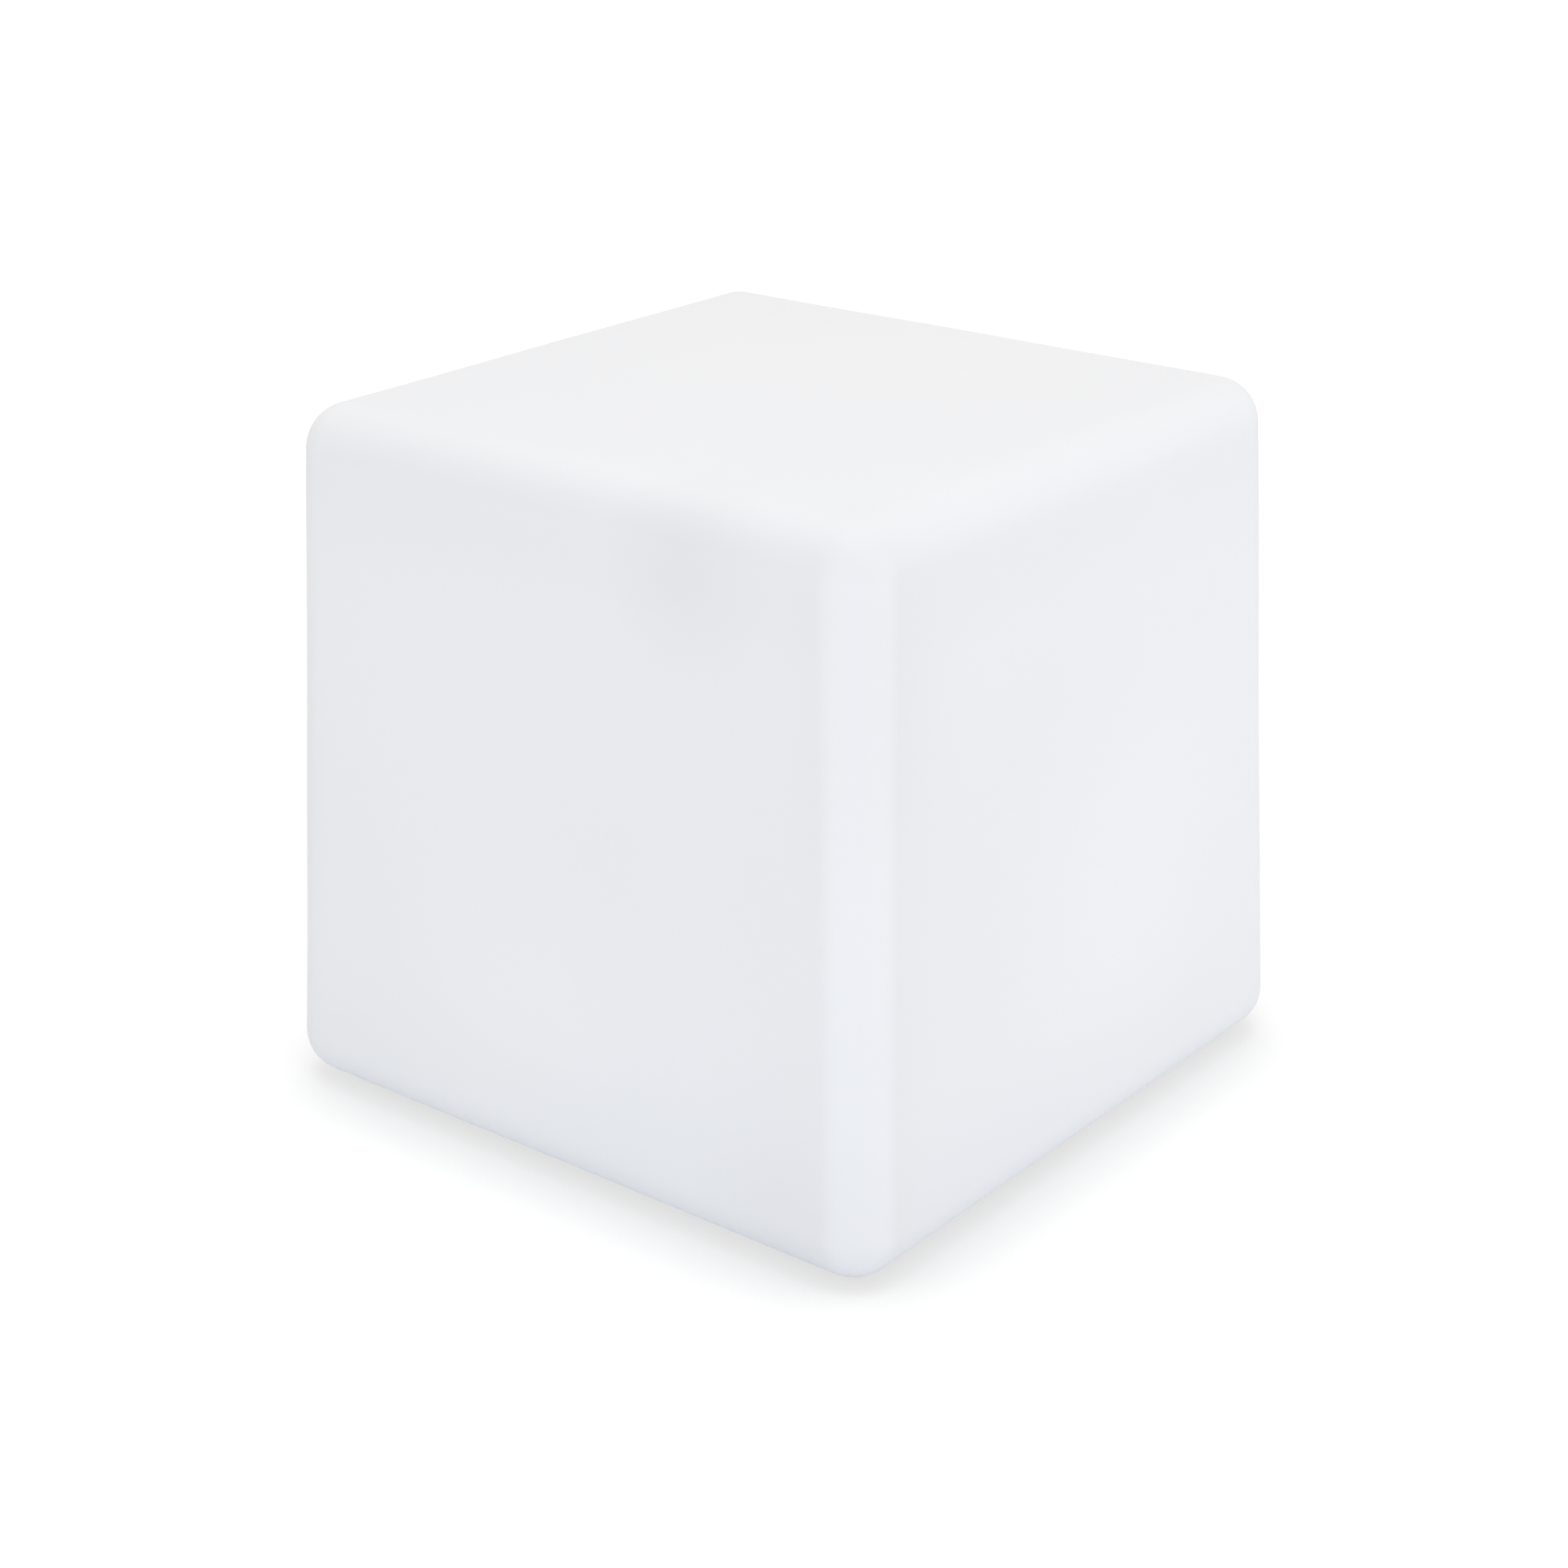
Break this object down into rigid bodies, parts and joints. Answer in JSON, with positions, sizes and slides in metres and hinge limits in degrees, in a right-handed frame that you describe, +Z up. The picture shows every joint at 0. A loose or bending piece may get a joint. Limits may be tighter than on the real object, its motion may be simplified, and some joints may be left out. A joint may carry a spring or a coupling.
{
  "type": "led cube light",
  "caption": "Rounded white cube lamp for the garden: a hollow translucent shell on rubber feet with a sealed light module screwed into its base.",
  "frame": {"origin": "on the floor under the middle of the cube, at the level of the feet's undersides", "axes": "+Z up through the top face; +X across the wider pair of sides; +Y across the narrower pair, away from the front"},
  "size_m": [0.419, 0.4106, 0.4],
  "materials": {
    "shell_plastic": "translucent white rotomoulded polyethylene, softly satin",
    "brass": "turned brass",
    "foot_rubber": "grey moulded rubber",
    "seal_rubber": "soft black silicone",
    "housing_plastic": "white fine-textured ABS",
    "screw_steel": "stainless steel",
    "dome_plastic": "clear frosted polycarbonate",
    "spreader_aluminium": "plain sheet aluminium",
    "white_board": "white solder mask",
    "lamp_chip": "white package with a yellow-white well",
    "black_plastic": "black moulded plastic",
    "green_board": "green solder mask",
    "capacitor_sleeve": "dark sleeve",
    "connector_plastic": "natural nylon",
    "button_rubber": "grey silicone",
    "clear_plastic": "clear acrylic",
    "nut_metal": "nickel plate",
    "flap_rubber": "grey silicone",
    "cell_sleeve": "shrink sleeve",
    "wire_sleeve": "silicone insulation"
  },
  "bodies": {
    "lamp": {"shell": "shell_plastic", "threaded_inserts": "brass", "rubber_feet": "foot_rubber", "flange_gasket": "seal_rubber", "module_housing": "housing_plastic", "flange_screws": "screw_steel", "light_dome": "dome_plastic", "dome_seal": "seal_rubber", "dome_screws": "screw_steel", "heat_spreader": "spreader_aluminium", "led_board": "white_board", "led_chips": "lamp_chip", "led_board_screws": "screw_steel", "ir_receiver": "black_plastic", "control_board": "green_board", "control_board_screws": "screw_steel", "controller_chip": "black_plastic", "capacitors": "capacitor_sleeve", "board_connectors": "connector_plastic", "power_switch": "black_plastic", "button_seal": "seal_rubber", "indicator_led": "lamp_chip", "light_pipe": "clear_plastic", "charging_jack": "black_plastic", "jack_nut": "nut_metal", "flap_pin": "screw_steel", "battery_cells": "cell_sleeve", "battery_tabs": "nut_metal", "battery_cradle": "black_plastic", "battery_clamps": "black_plastic", "battery_clamp_screws": "screw_steel", "battery_wires": "wire_sleeve", "lamp_wires": "wire_sleeve", "socket_wires": "wire_sleeve"},
    "button": {"power_button": "button_rubber"},
    "plunger": {"switch_plunger": "connector_plastic"},
    "flap": {"port_flap": "flap_rubber"}
  },
  "joints": [
    {"name": "power_button_press", "type": "slide", "parent": "lamp", "child": "button", "axis": [0, 0, 1], "range_m": [0, 0.001], "stiffness_N_per_m": 1500},
    {"name": "switch_plunger_slide", "type": "slide", "parent": "lamp", "child": "plunger", "axis": [0, 0, 1], "range_m": [0, 0.001]},
    {"name": "port_flap_swing", "type": "hinge", "parent": "lamp", "child": "flap", "pos_m": [0, -0.0155, 0.0037], "axis": [-1, 0, 0], "range_deg": [0, 150]}
  ],
  "couplings": [
    {"joint": "switch_plunger_slide", "follows": "power_button_press", "ratio": 1}
  ]
}
